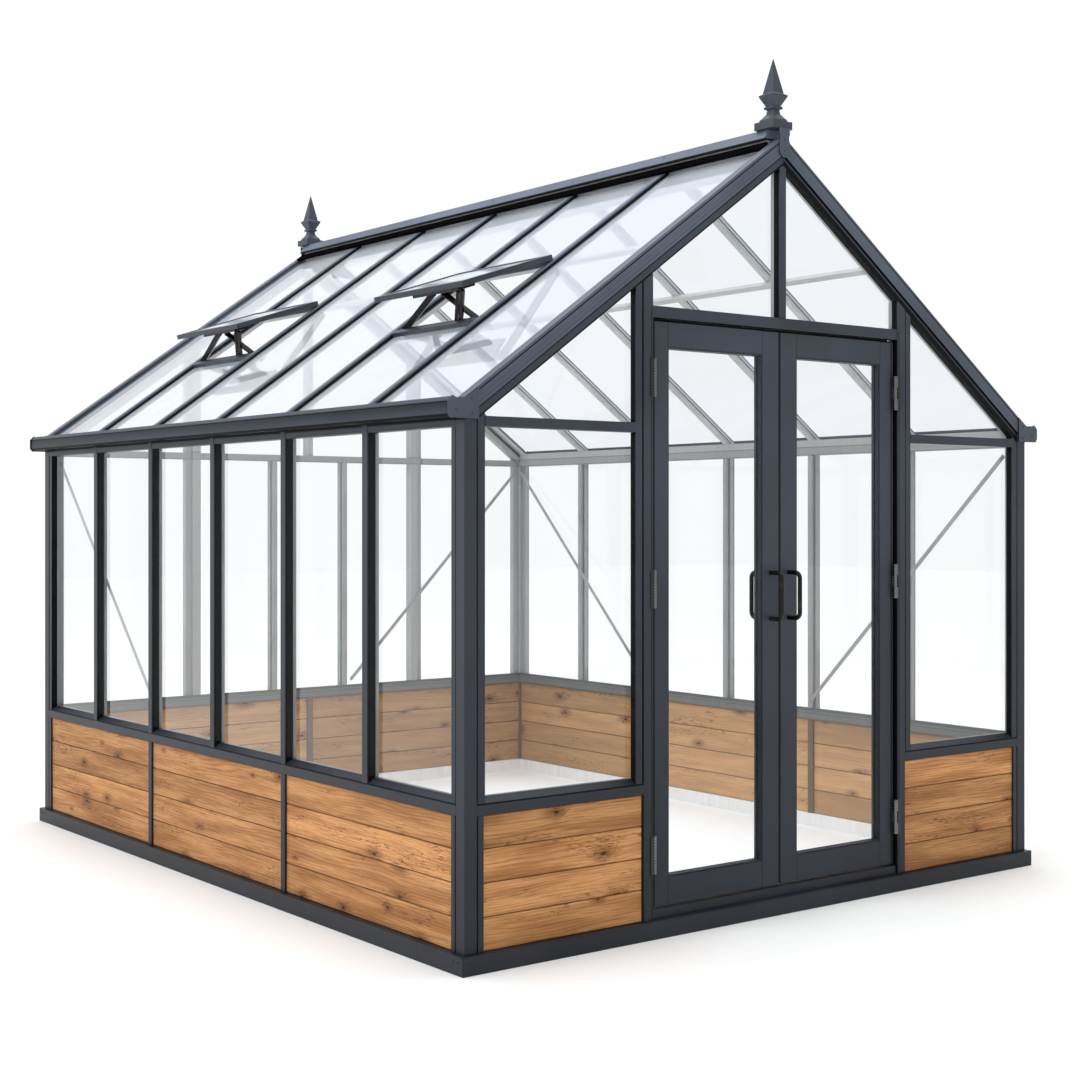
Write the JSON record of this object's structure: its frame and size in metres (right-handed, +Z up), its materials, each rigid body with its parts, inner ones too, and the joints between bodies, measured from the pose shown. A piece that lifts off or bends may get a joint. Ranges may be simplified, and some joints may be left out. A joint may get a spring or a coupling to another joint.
{
  "type": "glass greenhouse",
  "caption": "Gabled glass greenhouse with a timber skirt, roof vents, ridge finials and a pair of glazed swing doors.",
  "frame": {"origin": "on the ground, under the middle of the whole house's bounding box", "axes": "+X to the right of someone facing the doors, +Y from the doors to the back, +Z up"},
  "size_m": [2.728, 3.262, 2.8746],
  "materials": {
    "frame": "satin powder coat, anthracite",
    "inner_aluminium": "satin mill finish",
    "timber": "oiled softwood boards",
    "glass": "clear",
    "steel": "satin",
    "bronze": "dark bronze"
  },
  "bodies": {
    "house": {"plinth": "frame", "corner_posts": "frame", "sill_rails": "frame", "skirt_dividers": "frame", "side_skirt_panels": "timber", "front_skirt_panels": "timber", "rear_skirt_panels": "timber", "eave_beams": "frame", "gutters": "frame", "gable_plates": "frame", "sash_stiles": "frame", "wall_bars": "frame", "cover_strips": "inner_aluminium", "gable_transoms": "frame", "gable_posts": "frame", "door_head": "frame", "threshold": "frame", "king_posts": "frame", "gable_frames": "frame", "barge_boards": "frame", "finials": "frame", "ridge_beam": "frame", "ridge_cap": "frame", "ridge_flashings": "frame", "roof_bars": "frame", "bar_end_clips": "frame", "rafter_strips": "inner_aluminium", "vent_trimmers": "frame", "vent_sashes": "frame", "vent_glass": "glass", "vent_openers": "bronze", "left_wall_glass": "glass", "right_wall_glass": "glass", "front_glass": "glass", "rear_glass": "glass", "left_roof_glass": "glass", "right_roof_glass": "glass", "braces": "inner_aluminium", "purlins": "inner_aluminium", "jamb_hinges": "steel"},
    "left_door": {"left_door_frame": "frame", "left_door_glass": "glass", "left_door_hinges": "steel", "left_door_pulls": "bronze"},
    "right_door": {"right_door_frame": "frame", "right_door_glass": "glass", "right_door_hinges": "steel", "right_door_pulls": "bronze"}
  },
  "joints": [
    {"name": "left_door_swing", "type": "hinge", "parent": "house", "child": "left_door", "pos_m": [-0.5675, -1.583, 1], "axis": [0, 0, -1], "range_deg": [0, 110]},
    {"name": "right_door_swing", "type": "hinge", "parent": "house", "child": "right_door", "pos_m": [0.5675, -1.583, 1], "axis": [0, 0, 1], "range_deg": [0, 110]}
  ]
}
